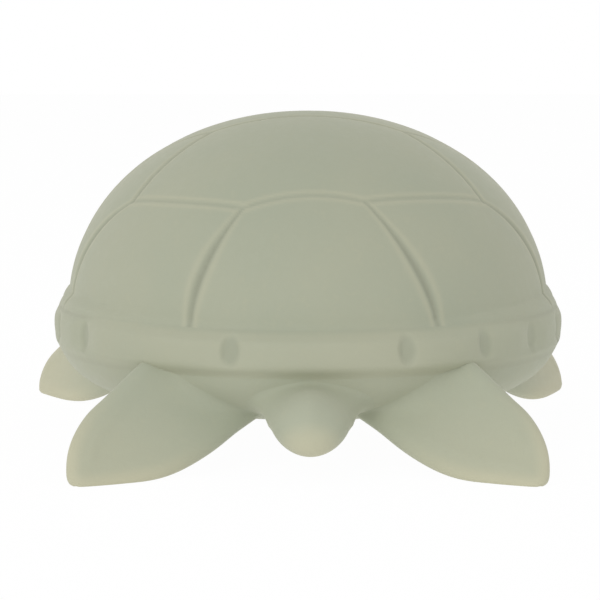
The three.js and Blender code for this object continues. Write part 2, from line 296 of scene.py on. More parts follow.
@dataclass(frozen=True)
class RubberFinish:
    """Matte natural rubber: cloudy sage colour, paler and warmer where thin and at painted highlights, darker
    at painted shade, with a dry fine grain.
    """

    name: str
    colour: Colour
    cloud: Colour
    pale_and_highlight: Colour
    hollow: Colour
    cloud_scale: float = 55.0
    cloud_detail: float = 3.0
    cloud_span: Span = (0.35, 0.65)
    fleck_scale: float = 700.0
    fleck_detail: float = 2.0
    fleck_span: Span = (0.56, 0.74)
    fleck_share: float = 0.1
    grain_scale: float = 2600.0
    grain_detail: float = 4.0
    grain_depth: float = 0.00006
    grain_strength: float = 0.5
    rough_span: Span = (0.3, 0.7)
    roughness: Span = (0.62, 0.8)
    specular: float = 0.32
    sheen: float = 0.25
    sheen_roughness: float = 0.5
    sheen_tint: Colour = (1.0, 0.97, 0.84)

    def material(self) -> Material:
        """Builds the node material.

        Returns:
            The material, which reads the painted shares of the skin.
        """
        material = bpy.data.materials.new(self.name)
        material.use_nodes = True
        tree = material.node_tree
        place = tree.nodes.new("ShaderNodeTexCoord").outputs["Object"]

        def noise(scale: float, detail: float) -> NodeSocket:
            """A noise over the object's own coordinates."""
            inputs = {"Vector": place, "Scale": scale, "Detail": detail}
            return add_node(tree, "TexNoise", inputs).outputs["Fac"]

        def ranged(value: NodeSocket, span: Span, to: Span) -> NodeSocket:
            """A value mapped from one span to another."""
            limits = {"From Min": span[0], "From Max": span[1], "To Min": to[0], "To Max": to[1]}
            return add_node(tree, "MapRange", {"Value": value, **limits}).outputs["Result"]

        def laid(under: NodeSocket | tuple, tint: Colour, share: NodeSocket) -> NodeSocket:
            """A colour with a tint laid over it by a share."""
            inputs = {"Factor": share, "A": under, "B": (*tint, 1.0)}
            return add_node(tree, "Mix", inputs, data_type="RGBA").outputs["Result"]

        clouds = ranged(noise(self.cloud_scale, self.cloud_detail), self.cloud_span, (0.0, 1.0))
        flecks = noise(self.fleck_scale, self.fleck_detail)
        colour = laid((*self.colour, 1.0), self.cloud, clouds)
        colour = laid(colour, self.pale_and_highlight, ranged(flecks, self.fleck_span, (0.0, self.fleck_share)))
        # Painted shade first, then the pale tint that stands for thin rubber and for painted highlight
        for label, tint in ((PAINTED_SHADE, self.hollow), (PALE_AND_HIGHLIGHT, self.pale_and_highlight)):
            painted = add_node(tree, "Attribute", {}, attribute_name=label)
            colour = laid(colour, tint, painted.outputs["Fac"])
        grain = add_node(tree, "Bump", {
            "Distance": self.grain_depth,
            "Strength": self.grain_strength,
            "Height": noise(self.grain_scale, self.grain_detail),
        })
        feed(tree, tree.nodes["Principled BSDF"], {
            "Base Color": colour,
            "Roughness": ranged(flecks, self.rough_span, self.roughness),
            "Normal": grain.outputs["Normal"],
            "Specular IOR Level": self.specular,
            "Sheen Weight": self.sheen,
            "Sheen Roughness": self.sheen_roughness,
            "Sheen Tint": (*self.sheen_tint, 1.0),
        })
        return material


FINISHES = {
    Slot.SHELL: RubberFinish(
        name="sage_shell_rubber",
        colour=(0.412, 0.438, 0.330),
        cloud=(0.434, 0.452, 0.338),
        pale_and_highlight=(0.560, 0.545, 0.395),
        hollow=(0.335, 0.350, 0.262),
    ),
    Slot.LIMB: RubberFinish(
        name="sage_limb_rubber",
        colour=(0.432, 0.462, 0.352),
        cloud=(0.450, 0.474, 0.358),
        pale_and_highlight=(0.575, 0.560, 0.402),
        hollow=(0.345, 0.360, 0.270),
    ),
}


@dataclass
class ShellForm:
    """The oval that both shell halves share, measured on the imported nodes."""

    rim_height: float = 5.1
    ledge: float = 2.3
    wall: float = 3.0
    fit: float = 0.3
    bowl_inset: float = 1.4
    flank_span: Span = (0.45, 0.95)
    hip_span: Span = (0.46, 0.74)
    flank_swell: float = 1.1
    flank_tuck: float = 0.6
    lip_wall: float = 1.5
    tongue_wall: float = 1.5
    tongue_height: float = 2.0
    squareness: float = 2.65
    belly_share: float = 0.36
    deepest_share: float = 0.999
    shoulder_swell: float = 0.4
    shoulder_power: float = 1.5
    probes: int = 721

    def __post_init__(self) -> None:
        """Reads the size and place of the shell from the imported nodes."""
        low, high = (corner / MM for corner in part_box("carapace_shell"))
        belly, _ = (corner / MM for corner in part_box("plastron_shell"))
        round_about = np.linspace(0.0, np.pi, self.probes)
        widest = float((np.sin(round_about) * self.shoulder(round_about)).max())
        self.radius = (high.x - low.x) / 2.0 / widest
        self.stretch = (high.y - low.y) / 2.0 / self.radius
        self.middle = (high.y + low.y) / 2.0
        self.seam = low.z
        self.top = high.z
        self.belly = belly.z
        self.rim_top = self.seam + self.rim_height
        self.dome_radius = self.radius - self.ledge
        self.bowl_top = self.seam - self.fit
        self.bowl_radius = self.radius - self.bowl_inset
        self.bowl_depth = self.bowl_top - self.belly
        self.tongue_radius = self.bowl_radius - self.lip_wall - self.fit
        self.cavity_radius = self.tongue_radius - self.tongue_wall
        self.bowl_floor = (1.0 - self.belly_share ** self.squareness) ** (1.0 / self.squareness)

    def shoulder(self, angle: Array) -> Array:
        """How much wider than an oval the shell is at an angle."""
        return 1.0 + self.shoulder_swell * np.clip(-np.cos(angle), 0.0, 1.0) ** self.shoulder_power

    def spread(self, radius: Array, angle: Array, height: Array, oval: bool = True) -> Array:
        """Places points round the shell's middle.

        Args:
            radius: Distance from the middle, across the shell.
            angle: Angle round the shell.
            height: Height above the ground.
            oval: Whether the points follow the shell's oval or a plain circle.

        Returns:
            The points, one row each.
        """
        wide, long = (self.shoulder(angle), self.stretch) if oval else (1.0, 1.0)
        x = radius * np.sin(angle) * wide
        y = self.middle - radius * long * np.cos(angle)
        return np.stack(np.broadcast_arrays(x, y, height), axis=-1)

    def bowl_share(self, depth_share: Array) -> Array:
        """The bowl's radius over that at its mouth, at a share of its depth."""
        deep = np.clip(self.bowl_floor * np.asarray(depth_share), 0.0, self.deepest_share)
        return (1.0 - deep ** self.squareness) ** (1.0 / self.squareness)

    def flank(self, angle: Array) -> Array:
        """Share of flank at an angle: 0 at the tail and the neck, 1 along the sides."""
        return ease(*self.flank_span, np.abs(np.sin(angle)))

    def hip(self, angle: Array) -> Array:
        """Share of flank below the rim, which begins at the rear flippers' crests."""
        return ease(*self.hip_span, np.abs(np.sin(angle)))

    def bowl_skin(self, angle: Array, depth_share: Array) -> Array:
        """Finds the bowl's skin, which swells out to the rim along the flanks and tucks in below.

        Args:
            angle: Angle round the shell.
            depth_share: Share of the bowl's depth.

        Returns:
            The radius of the skin.
        """
        depth = np.asarray(depth_share)
        swell = self.flank_swell * (1.0 - depth) ** 2 - self.flank_tuck * 4.0 * depth * (1.0 - depth)
        return self.bowl_radius * self.bowl_share(depth) + self.hip(angle) * swell

    def outside_bowl(self, points: Array) -> Array:
        """Works out about how far points lie outside the bowl's skin.

        Args:
            points: The points, one row each.

        Returns:
            The distance of each point, below zero for those inside.
        """
        along = (points[:, 1] - self.middle) / self.stretch
        angle = np.arctan2(points[:, 0], -along)
        angle = np.arctan2(points[:, 0] / self.shoulder(angle), -along)
        across = np.hypot(points[:, 0] / self.shoulder(angle), along)
        depth = np.clip((self.bowl_top - points[:, 2]) / self.bowl_depth, 0.0, 1.0)
        return across - self.bowl_skin(angle, depth)


@dataclass
class Part:
    """What all pieces share: the frame's node that they stand for, and the record's slot."""

    form: ShellForm
    node: str = ""
    slot: Slot = Slot.LIMB

    def build(self) -> Skin:
        """Builds the piece's skin, which each kind of piece does in its own way."""
        raise NotImplementedError

    def dress(self, piece: Object, material: Material) -> None:
        """Gives the piece its finish and hides the frame's node that it stands for.

        Args:
            piece: The piece.
            material: Its material.
        """
        piece.data.materials.append(material)
        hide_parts(self.node)

    def hold(self, piece: Object) -> None:
        """Lets the piece ride on the shell's body."""
        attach(piece, "body")

    def make(self, material: Material) -> Object:
        """Builds the piece, dresses it and holds it as its kind does.

        Args:
            material: The piece's material.

        Returns:
            The piece.
        """
        piece = self.build().to_object(f"{self.node}_skin")
        self.dress(piece, material)
        self.hold(piece)
        return piece


@dataclass(frozen=True)
class GrooveCut:
    """Section of a groove, in millimetres at its start and when grown, with shares of taper and fade."""

    half_width: Span
    depth: Span
    lip: float
    taper: float
    fade: float


class GrooveKind(Enum):
    """The kinds of groove on the dome."""

    SEAM = GrooveCut(half_width=(0.52, 0.52), depth=(0.26, 0.26), lip=0.05, taper=0.04, fade=0.0)
    WORN = GrooveCut(half_width=(0.50, 0.50), depth=(0.12, 0.12), lip=0.045, taper=0.04, fade=0.0)
    SPOKE = GrooveCut(half_width=(0.38, 0.86), depth=(0.2, 0.39), lip=0.04, taper=0.5, fade=0.5)


@dataclass(frozen=True)
class TailGroove:
    """The groove beside the tail: its two ends, and the bow of the outer grooves on its side."""

    corner: Span
    foot: Span
    bow: float


@dataclass
class Carapace(Part):
    """The domed upper shell, with grooves between its scutes and a notched rim.

    The ends of the grooves are shares of the dome's half width and half length, and notches are in degrees.
    Values that end in paint are shares of the finish's pale tint, here painted highlight, or of its painted
    shade.
    """

    node: str = "carapace_shell"
    slot: Slot = Slot.SHELL
    cells: int = 256
    coarse: int = 64
    rim_rings: int = 33
    inner_rings: int = 12
    inner_end: float = 0.95

    left_tail: TailGroove = TailGroove(corner=(0.25, -0.79), foot=(0.45, -0.89), bow=0.012)
    right_tail: TailGroove = TailGroove(corner=(0.22, -0.777), foot=(0.495, -0.87), bow=0.03)
    spine_corners: Edge = ((0.39, -0.19), (0.39, 0.30), (0.31, 0.73))
    flank_corners: Edge = ((0.70, -0.44), (0.69, 0.06), (0.63, 0.52))
    flank_feet: Edge = ((0.965, -0.26), (0.98, 0.19), (0.76, 0.65))
    neck_foot: Span = (0.43, 0.90)
    seam_bow: float = 0.05
    groove_steps: int = 25
    groove_sharpness: float = 2.2
    groove_reach: float = 6.6
    fade_start: float = 0.6
    lip_place: float = 1.5
    lip_width: float = 0.7
    lip_clear: float = 0.4
    lip_highlight_paint: float = 0.4
    pillow: float = 0.10
    pillow_reach: float = 2.2

    foot_fade: float = 0.975
    foot_swell: Span = (0.12, 1.3)
    foot_start: Span = (0.985, 0.955)
    right_notches: tuple[float, ...] = (21.2, 40.9, 57.8, 77.5, 97.0, 116.5, 136.0, 155.5)
    left_notches: tuple[float, ...] = (16.2, 57.8, 77.5, 97.0, 116.5, 136.0, 155.5)
    left_share: float = 0.8
    right_share: Span = (0.7, 0.45)
    notch_level: float = 2.05
    notch_half_width: float = 1.65
    notch_half_height: float = 2.5
    notch_edge: Span = (0.50, 1.10)
    notch_depth: Span = (0.55, 0.275)
    notch_lean: float = 0.35
    notch_shade_paint: float = 0.45
    scallop: Span = (0.2, 0.7)
    scallop_reach: float = 5.5
    hip_level: Span = (0.5, 2.5)
    crease_drop: float = 0.25
    crease_width: float = 0.3
    crease_shade_paint: Span = (0.06, 0.5)
    shade_fade_from: Span = (-1.05, -0.9)
    shade_fade_to: Span = (-0.5, -0.3)
    under_level: Span = (-1.5, -0.7)
    under_span: Span = (0.2, 0.45)
    under_rim_shade_paint: float = 0.3
    bulge_span: Span = (-2.1, -1.2)
    bulge_highlight_paint: Span = (0.22, 0.044)

    def disc(self) -> tuple[Array, Array, Array]:
        """Draws a square grid into a disc, evenly and without a pole.

        Returns:
            Radius shares, angles and the grid of point numbers.
        """
        line = np.linspace(-1.0, 1.0, self.cells + 1)
        a, b = (axis.ravel() for axis in np.meshgrid(line, line, indexing="ij"))
        radius = np.maximum(np.abs(a), np.abs(b))
        wide = np.abs(a) >= np.abs(b)
        safe = np.where(radius == 0.0, 1.0, np.where(wide, a, b))
        angle = np.where(wide, np.pi / 4.0 * b / safe, QUARTER - np.pi / 4.0 * a / safe)
        angle = angle + np.where(np.where(wide, a, b) < 0.0, np.pi, 0.0)
        number = np.arange((self.cells + 1) ** 2).reshape(self.cells + 1, self.cells + 1)
        return radius, angle, number

    def dome_points(self, x: Array, y: Array) -> Array:
        """Finds points on the bare dome.

        Args:
            x: Places as shares of the dome's half width.
            y: Places as shares of its half length.

        Returns:
            The points above those places.
        """
        form = self.form
        height = np.sqrt(np.clip(1.0 - x * x - y * y, 0.0, 1.0))
        rise = form.top - form.rim_top
        return form.spread(form.dome_radius * np.hypot(x, y), np.arctan2(x, -y), form.rim_top + rise * height)

    def groove(self, kind: GrooveKind, start: Span, end: Span, bow: float) -> Array:
        """Draws the line of a groove on the bare dome.

        Args:
            kind: The kind of groove.
            start: Where it starts, seen from above.
            end: Where it ends. A spoke runs on to the dome's foot.
            bow: How far it bows outwards, as a share.

        Returns:
            The points of the line.
        """
        steps = np.linspace(0.0, 1.0, self.groove_steps)
        eased, arch = steps, np.sin(steps * np.pi)
        if kind is GrooveKind.SPOKE:
            eased, arch = np.sin(steps * QUARTER), 2.0 * arch * (1.0 - steps)
            end = np.array(end) / np.hypot(*end)
        x, y = (between(ends, eased) * (1.0 + bow * arch) for ends in zip(start, end))
        return self.dome_points(x, y)

    def grooves(self) -> list[tuple[GrooveKind, Array]]:
        """Lists the grooves between the scutes.

        Returns:
            The kind and the line of each groove.
        """
        x, y = self.left_tail.corner
        routes = [(GrooveKind.WORN, (-x, y), self.right_tail.corner, 0.0)]
        routes += [(GrooveKind.SEAM, (-x, y), (x, y), 0.0) for x, y in self.spine_corners]
        for side, tail in ((Side.LEFT, self.left_tail), (Side.RIGHT, self.right_tail)):
            corners = (tail.corner, *self.spine_corners)
            half = [
                (GrooveKind.SPOKE, tail.corner, tail.foot, tail.bow),
                (GrooveKind.SPOKE, corners[-1], self.neck_foot, tail.bow),
            ]
            for i, flank in enumerate(self.flank_corners):
                kind, bow = (GrooveKind.SEAM, 0.0) if i else (GrooveKind.WORN, self.seam_bow)
                half.append((kind, corners[i], flank, bow))
                half.append((GrooveKind.SEAM, flank, corners[i + 1], 0.0))
                half.append((GrooveKind.SPOKE, flank, self.flank_feet[i], 0.0))
            for kind, start, end, bow in half:
                start, end = ((side.value * x, y) for x, y in (start, end))
                routes.append((kind, start, end, bow))
        return [(route[0], self.groove(*route)) for route in routes]

    def cut_grooves(self, points: Array) -> tuple[Array, Array, Array]:
        """Works out how deep the grooves lie at points of the bare dome.

        Args:
            points: Points on the bare dome.

        Returns:
            The sinking of each point, its share of painted shade in the groove and its share of painted
            highlight on the lips.
        """
        sink = np.zeros(len(points))
        rise = np.zeros(len(points))
        nearest = np.full(len(points), np.inf)
        for kind, line in self.grooves():
            cut = kind.value
            low, high = line.min(axis=0) - self.groove_reach, line.max(axis=0) + self.groove_reach
            near = np.flatnonzero(((points > low) & (points < high)).all(axis=1))
            gap, share = distance_to_line(points[near], line)
            grown = ease(0.0, cut.taper, share) * (1.0 - cut.fade * ease(self.fade_start, 1.0, share))
            half, depth = between(cut.half_width, grown), between(cut.depth, grown)
            lip = cut.lip * bell((gap / half - self.lip_place) / self.lip_width)
            sink[near] = np.maximum(sink[near], depth * np.exp(-self.groove_sharpness * (gap / half) ** 2))
            rise[near] = np.maximum(rise[near], lip)
            nearest[near] = np.minimum(nearest[near], gap)
        soft = self.pillow * bell(nearest / self.pillow_reach)
        # Painted shade follows the groove's depth; painted highlight lies on the lips beside it
        hollow = np.clip(sink / GrooveKind.SPOKE.value.depth[1], 0.0, 1.0)
        lip = rise / GrooveKind.SEAM.value.lip * (1.0 - ease(0.0, self.lip_clear, hollow))
        return sink + soft - rise, hollow, lip

    def dome(self, share: Array, angle: Array) -> tuple[Array, Array, Array]:
        """Works out the grooved dome, whose foot swells out to the rim.

        Args:
            share: Radius shares of its points.
            angle: Angles of its points.

        Returns:
            The points, their shares of painted shade and their shares of painted highlight on the lips.
        """
        form = self.form
        plan = np.sin(share * QUARTER)
        bare = self.dome_points(plan * np.sin(angle), -plan * np.cos(angle))
        sink, hollow, lip = self.cut_grooves(bare)
        sink = sink * (1.0 - ease(self.foot_fade, 1.0, share))
        scale = np.array([form.dome_radius, form.dome_radius * form.stretch, form.top - form.rim_top])
        normal = (bare - np.array([0.0, form.middle, form.rim_top])) / scale ** 2
        normal /= np.linalg.norm(normal, axis=1)[:, None]
        flank = form.flank(angle)
        start = between(self.foot_start, flank)
        grown = np.sin(np.clip((share - start) / (1.0 - start), 0.0, 1.0) * QUARTER)
        swell = between(self.foot_swell, flank) * grown
        outward = form.spread(swell, angle, 0.0) - form.spread(0.0 * swell, angle, 0.0)
        return bare - normal * sink[:, None] + outward, hollow, lip

    def rim_profile(self, flank: bool) -> Array:
        """Draws the rim's section from the foot of the dome round to the lip that covers the seam.

        Args:
            flank: Whether the section is one along the sides, where the rim runs softly into the bowl.

        Returns:
            Radius and height of each ring.
        """
        form = self.form
        rim, base = form.radius, form.seam
        foot = form.dome_radius + self.foot_swell[int(flank)]
        angle = QUARTER if flank else 0.0

        def skin(drop: float) -> float:
            """Radius of the bowl's skin at a drop below the seam."""
            return float(form.bowl_skin(np.array(angle), (drop - form.fit) / form.bowl_depth))

        if flank:
            knots = [
                (foot, form.rim_top),
                (foot + 0.34, base + 4.60),
                (rim - 0.36, base + 4.05),
                (rim - 0.10, base + 3.40),
                (rim, base + 2.60),
                (rim, base + 1.60),
                (rim - 0.10, base + 0.60),
                ((2.0 * rim + skin(1.0)) / 3.0, base - 0.30),
                ((rim + 3.0 * skin(1.5)) / 4.0, base - 1.15),
                (skin(2.0) + 0.04, base - 1.95),
                (skin(2.6) - 0.08, base - 2.60),
            ]
        else:
            knots = [
                (foot, form.rim_top),
                (foot + 0.28, base + 4.80),
                (foot + 0.66, base + 4.44),
                (foot + 1.10, base + 3.98),
                (rim - 0.52, base + 3.35),
                (rim - 0.24, base + 2.50),
                (rim - 0.08, base + 1.50),
                (rim, base + 0.55),
                (rim - 0.08, base - 0.25),
                (rim - 0.48, base - 0.86),
                (skin(1.5) + 0.55, base - 1.22),
                (skin(1.9) + 0.14, base - 1.68),
                (skin(2.4) - 0.10, base - 2.35),
            ]
        return smooth_curve(np.array(knots), self.rim_rings)

    def notch_share(self, angle: Array) -> Array:
        """How deep the notches are, as a share: those on the right are fainter, most of all on the flank."""
        right = between(self.right_share, self.form.flank(angle))
        return np.where(np.sin(angle) > 0.0, right, self.left_share)

    def rim_relief(self, angle: Array, height: Array) -> tuple[Array, Array]:
        """Works out the notches and the swell between them.

        Args:
            angle: Angle round the shell.
            height: Height above the ground.

        Returns:
            How far the rim stands in from its plain section, and the share of notch.
        """
        form = self.form
        flank = form.flank(angle)
        notches = np.radians([*self.right_notches, *(-turn for turn in self.left_notches)])
        turned = np.angle(np.exp(1j * (angle[:, None] - notches[None, :])))
        nearest = np.take_along_axis(turned, np.abs(turned).argmin(axis=1)[:, None], axis=1)[:, 0]
        along = nearest * form.radius * np.hypot(np.cos(angle), form.stretch * np.sin(angle))
        beside = along / self.notch_half_width
        level = (height - form.seam - self.notch_level) / self.notch_half_height
        notch = 1.0 - ease(*self.notch_edge, np.hypot(beside, level))
        swell = between(self.scallop, flank) * (1.0 - ease(0.0, self.scallop_reach, np.abs(along)))
        deep = between(self.notch_depth, flank) * self.notch_share(angle)
        deep = deep * (1.0 - self.notch_lean * np.clip(beside, -1.0, 1.0))
        return deep * notch + swell * (1.0 - np.clip(np.abs(level), 0.0, 1.0) ** 3), notch

    def rim_ring(self, rear: Array, side: Array, turns: Array) -> tuple[Array, Array, Array]:
        """Works out one ring of the rim.

        Args:
            rear: Its radius and height at the tail and the neck.
            side: Its radius and height along the sides.
            turns: Angles of its points.

        Returns:
            The points, their shares of painted shade and their shares of the pale tint, which here is painted
            highlight.
        """
        form = self.form
        flank, level = form.flank(turns), rear[1] - form.seam
        sideness = between((flank, form.hip(turns)), 1.0 - ease(*self.hip_level, level))
        radius, height = (rear + (side - rear) * sideness[:, None]).T
        inset, notch = self.rim_relief(turns, height)
        # Painted shade along the crease at the dome's foot, faded out on the left rear, in the notches, and
        # under the rim at the sides
        shade_fade = ease(*self.shade_fade_from, turns) * (1.0 - ease(*self.shade_fade_to, turns))
        crease_shade = bell((level - form.rim_height + self.crease_drop) / self.crease_width)
        crease_shade = crease_shade * (1.0 - shade_fade) * between(self.crease_shade_paint, flank)
        under = (1.0 - ease(*self.under_level, level)) * ease(*self.under_span, np.abs(np.sin(turns)))
        hollow = self.notch_shade_paint * notch * self.notch_share(turns) + crease_shade + self.under_rim_shade_paint * under
        # Painted highlight where the rim bulges out furthest, away from the notches
        pale_and_highlight = between(self.bulge_highlight_paint, flank) * ease(*self.bulge_span, radius - form.radius) * (1.0 - notch)
        return form.spread(radius - inset, turns, height), hollow, pale_and_highlight

    def build(self) -> Skin:
        """Builds the shell.

        Returns:
            The closed skin: dome, rim, lap joint and inner face.
        """
        share, angle, number = self.disc()
        dome, hollow, lip = self.dome(share, angle)
        corners = (number[:-1, :-1], number[:-1, 1:], number[1:, 1:], number[1:, :-1])
        faces = list(zip(*(corner.ravel().tolist() for corner in corners)))
        ring = np.concatenate([number[:-1, 0], number[-1, :-1], number[:0:-1, -1], number[0, :0:-1]])
        turns = np.angle(np.exp(1j * angle[ring]))
        # The dome carries painted shade in its grooves and painted highlight on their lips
        points, painted_shade_blocks, pale_and_highlight_blocks = [dome], [hollow], [self.lip_highlight_paint * lip]
        total = len(dome)
        for rear, side in zip(self.rim_profile(False)[1:], self.rim_profile(True)[1:]):
            for blocks, block in zip((points, painted_shade_blocks, pale_and_highlight_blocks), self.rim_ring(rear, side, turns)):
                blocks.append(block)
            after = np.arange(total, total + len(turns))
            faces += ring_faces(ring, after)
            ring, total = after, total + len(turns)
        plain = np.zeros(self.line_inside(points, faces, ring, turns, total) - total)
        paint = {PAINTED_SHADE: np.concatenate([*painted_shade_blocks, plain]), PALE_AND_HIGHLIGHT: np.concatenate([*pale_and_highlight_blocks, plain])}
        return Skin(np.vstack(points), faces, paint)

    def line_inside(self, points: list, faces: list, ring: Array, turns: Array, total: int) -> int:
        """Adds the lap joint and the inner face, on fewer points, and closes the skin.

        Args:
            points: Blocks of points so far, which are added to.
            faces: Faces so far, which are added to.
            ring: Point numbers of the last outer ring.
            turns: Angles of that ring.
            total: How many points there are.

        Returns:
            How many points there are afterwards.
        """
        form = self.form
        roof = form.seam + form.tongue_height + form.fit
        inner_radius, inner_rise = form.dome_radius - form.wall, form.top - form.rim_top - form.wall
        profile = [
            (form.tongue_radius + form.fit, form.seam),
            (form.tongue_radius + form.fit, roof),
            (form.cavity_radius, roof),
        ]
        for turn in np.linspace(0.0, self.inner_end, self.inner_rings) * QUARTER:
            profile.append((inner_radius * math.cos(turn), form.rim_top + inner_rise * math.sin(turn)))
        stride = len(ring) // self.coarse
        closed = np.append(ring, ring[0]).tolist()
        last = None
        for radius, height in profile:
            points.append(form.spread(np.full(self.coarse, radius), turns[::stride], height))
            now = np.arange(total, total + self.coarse)
            if last is None:
                for k in range(self.coarse):
                    fine = closed[k * stride:(k + 1) * stride + 1]
                    faces.append((*fine, int(now[(k + 1) % self.coarse]), int(now[k])))
            else:
                faces += ring_faces(last, now)
            last, total = now, total + self.coarse
        points.append(np.array([[0.0, form.middle, form.rim_top + inner_rise]]))
        faces += [(int(a), int(b), total) for a, b in zip(last, np.roll(last, -1))]
        return total + 1


@dataclass
class VentPlug(Part):
    """The stopper in the belly, with a domed head, a stem and a barb."""

    node: str = "vent_plug"
    around: int = 72
    head_radius: float = 5.0
    head_height: float = 1.3
    stem_radius: float = 3.1
    barb_radius: float = 4.6
    barb_height: float = 1.2
    barb_point: float = 0.2
    crown: Edge = ((0.35, -0.02), (0.80, 0.02))
    soft: float = 0.35
    chamfer: float = 0.1

    def build(self) -> Skin:
        """Builds the plug.

        Returns:
            The closed skin, turned about the shell's middle.
        """
        base = self.form.belly
        head, stem, barb, chamfer = self.head_radius, self.stem_radius, self.barb_radius, self.chamfer
        shoulder, top = base + self.head_height, base + self.form.wall + self.form.fit
        profile = [
            *[(head * share, base + rise) for share, rise in self.crown],
            (head - self.soft, base + chamfer),
            (head, base + chamfer + self.soft),
            (head, shoulder - chamfer),
            (head - chamfer, shoulder),
            (stem, shoulder),
            (stem, top),
            (barb - chamfer, top),
            (barb, top + chamfer),
            (stem + self.barb_point, top + self.barb_height),
        ]
        turns = circle(self.around)
        rings = [self.form.spread(radius, turns, height, oval=False) for radius, height in profile]
        return loft(np.array(rings))


@dataclass
class Plastron(Part):
    """The bowl under the rim, with a flat belly and a vent for the plug."""

    node: str = "plastron_shell"
    slot: Slot = Slot.SHELL
    around: int = 192
    bowl_rings: int = 34
    inner_stride: int = 3
    floor_rings: int = 8
    vent_play: float = 0.3
    recess_soft: Span = (0.08, 0.3)
    recess_blend: Span = (0.4, 4.0)
    wall_room: float = 0.1

    def build(self) -> Skin:
        """Builds the bowl.

        Returns:
            The closed skin, turned about the shell's middle, with the vent right through it.
        """
        form, plug = self.form, VentPlug(self.form)
        recess, vent = plug.head_radius + form.fit, plug.stem_radius + self.vent_play
        ledge = form.belly + plug.head_height + form.fit
        deep = np.sin(np.linspace(0.0, 1.0, self.bowl_rings) * QUARTER)
        turns = circle(self.around)
        outer = [(form.bowl_skin(turns, d), form.bowl_top - form.bowl_depth * d) for d in deep]
        inner_depth = form.bowl_depth - form.wall
        inner = [
            (form.cavity_radius * form.bowl_share(d), form.bowl_top - inner_depth * d)
            for d in deep[::self.inner_stride]
        ]
        soft, soft_rise = self.recess_soft
        floor = np.linspace(form.bowl_radius * form.belly_share, recess + soft_rise, self.floor_rings)[1:]
        profile = [
            (form.cavity_radius, form.seam + form.tongue_height),
            (form.tongue_radius, form.seam + form.tongue_height),
            (form.tongue_radius, form.bowl_top),
            *outer,
            *[(float(radius), form.belly) for radius in floor],
            (recess + soft, form.belly + soft),
            (recess, form.belly + soft_rise),
            (recess, ledge),
            (vent, ledge),
            (vent, form.belly + form.wall),
            *inner[::-1],
        ]
        rings = []
        for radius, height in profile:
            radius = np.broadcast_to(radius, turns.shape)
            ring = form.spread(radius, turns, height)
            if height < form.belly + form.wall - self.wall_room:
                roundness = 1.0 - ease(*self.recess_blend, radius - recess)
                ring = ring + (form.spread(radius, turns, height, oval=False) - ring) * roundness[:, None]
            rings.append(ring)
        index = np.arange(len(rings) * self.around).reshape(len(rings), self.around)
        faces = [face for a, b in zip(index, np.roll(index, -1, axis=0)) for face in ring_faces(a, b)]
        return Skin(np.vstack(rings), faces)


